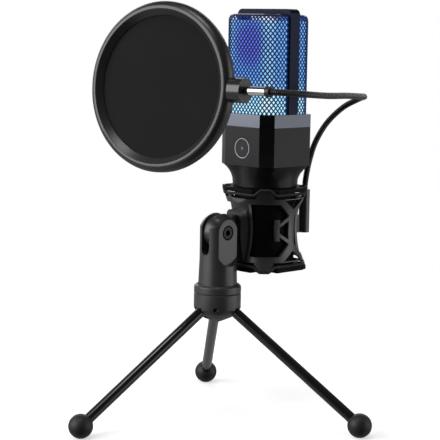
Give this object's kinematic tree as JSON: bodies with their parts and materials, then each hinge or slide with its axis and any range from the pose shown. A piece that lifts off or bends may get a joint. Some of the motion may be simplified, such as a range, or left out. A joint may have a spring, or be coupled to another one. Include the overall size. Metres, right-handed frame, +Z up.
{
  "type": "desktop microphone",
  "caption": "Side-address USB desk microphone with lit mesh head, band-hung cradle, tilting post, folding ball-foot tripod and pop filter on a gooseneck.",
  "frame": {"origin": "where the tripod's vertical axis meets the desk, midway between the three feet", "axes": "+Z up; -Y the way the microphone faces; +X to the microphone's right as seen from above with its front towards -Y"},
  "size_m": [0.1871, 0.2156, 0.2691],
  "materials": {
    "hub_plastic": "satin black moulded plastic",
    "post_plastic": "satin dark grey moulded plastic",
    "leg_steel": "gloss black painted steel rod",
    "foot_rubber": "black rubber",
    "steel": "blackened or plain steel fastener",
    "cradle_plastic": "matte black moulded plastic",
    "sleeve_plastic": "matte black moulded plastic",
    "elastic": "black elastic cord",
    "liner_rubber": "soft black liner",
    "housing_paint": "satin dark grey painted casting",
    "trim_paint": "smooth mid grey band",
    "deck_metal": "plain cast metal",
    "screw_steel": "plain steel screw",
    "cap_plastic": "matte black plastic",
    "usb_metal": "plated steel shell",
    "board": "green solder mask",
    "parts_black": "moulded component bodies",
    "pad_plastic": "smooth dark touch surface",
    "lens": "clear grey lens",
    "led_white": "white light board",
    "diffuser": "lit milky plastic",
    "saddle_plastic": "black moulded plastic",
    "capsule_gold": "gold-sputtered capsule and rim",
    "foam": "thin open foam",
    "grille_paint": "black painted steel mesh",
    "hoop_paint": "satin dark grey painted hoop",
    "neck_black": "black ribbed steel gooseneck",
    "chrome": "polished ferrule",
    "ring_plastic": "satin black ring",
    "boss_plastic": "satin grey boss",
    "mesh_fabric": "fine charcoal nylon"
  },
  "bodies": {
    "tripod": {"tripod_hub": "hub_plastic", "hub_collar": "hub_plastic", "leg_pins": "steel"},
    "leg_a": {"leg_1": "leg_steel", "foot_1": "foot_rubber"},
    "leg_b": {"leg_2": "leg_steel", "foot_2": "foot_rubber"},
    "leg_c": {"leg_3": "leg_steel", "foot_3": "foot_rubber"},
    "post": {"tilt_post": "post_plastic", "pivot_screw": "steel", "tilt_bolt": "steel", "tilt_nut": "steel"},
    "cradle": {"outer_cage": "cradle_plastic", "elastic_band_upper": "elastic", "elastic_band_lower": "elastic", "filter_clip": "cradle_plastic", "clip_screws": "steel"},
    "sleeve": {"inner_sleeve": "sleeve_plastic", "sleeve_liner": "liner_rubber"},
    "microphone": {"lower_housing": "housing_paint", "shaft_tube": "housing_paint", "trim_band": "trim_paint", "deck_plate": "deck_metal", "deck_screws": "screw_steel", "base_cap": "cap_plastic", "cap_screws": "screw_steel", "usb_socket": "usb_metal", "circuit_board": "board", "board_parts": "parts_black", "touch_pad": "pad_plastic", "status_lens": "lens", "led_board": "led_white", "light_diffuser": "diffuser", "capsule_saddle": "saddle_plastic", "capsule": "capsule_gold", "foam_liner": "foam", "front_grille": "grille_paint", "rear_grille": "grille_paint", "head_hoop": "hoop_paint"},
    "neck": {"gooseneck": "neck_black", "neck_end_pin": "steel", "neck_collar": "cap_plastic", "ferrule": "chrome"},
    "filter": {"filter_boss": "boss_plastic", "front_ring": "ring_plastic", "rear_ring": "ring_plastic", "spacer_ring": "ring_plastic", "front_fabric": "mesh_fabric", "rear_fabric": "mesh_fabric"}
  },
  "joints": [
    {"name": "leg_fold_1", "type": "hinge", "parent": "tripod", "child": "leg_a", "pos_m": [0.00874, 0.00318, 0.0739], "axis": [-0.342, 0.9397, 0], "range_deg": [0, 54]},
    {"name": "leg_fold_2", "type": "hinge", "parent": "tripod", "child": "leg_b", "pos_m": [-0.00712, 0.00598, 0.0739], "axis": [-0.6428, -0.766, 0], "range_deg": [0, 54]},
    {"name": "leg_fold_3", "type": "hinge", "parent": "tripod", "child": "leg_c", "pos_m": [-0.00161, -0.00916, 0.0739], "axis": [0.9848, -0.1736, 0], "range_deg": [0, 54]},
    {"name": "post_pan", "type": "hinge", "parent": "tripod", "child": "post", "pos_m": [0, 0, 0.085], "axis": [0, 0, 1], "continuous": true},
    {"name": "mount_tilt", "type": "hinge", "parent": "post", "child": "cradle", "pos_m": [0, 0, 0.1228], "axis": [1, 0, 0], "range_deg": [-8, 60]},
    {"name": "sleeve_float", "type": "slide", "parent": "cradle", "child": "sleeve", "axis": [0, 0, 1], "range_m": [-0.0015, 0.0015], "stiffness_N_per_m": 6000, "deforming": ["elastic_band_upper", "elastic_band_lower"]},
    {"name": "mic_turn", "type": "hinge", "parent": "sleeve", "child": "microphone", "pos_m": [0, 0.0422, 0.15], "axis": [0, 0, 1], "continuous": true},
    {"name": "neck_turn", "type": "hinge", "parent": "cradle", "child": "neck", "pos_m": [0.009, 0.0713, 0.13], "axis": [0, 0, 1], "range_deg": [-25, 75]},
    {"name": "filter_turn", "type": "hinge", "parent": "neck", "child": "filter", "pos_m": [0.0079, -0.0581, 0.2172], "axis": [0.9789, 0.2045, 0], "range_deg": [-60, 60]}
  ]
}
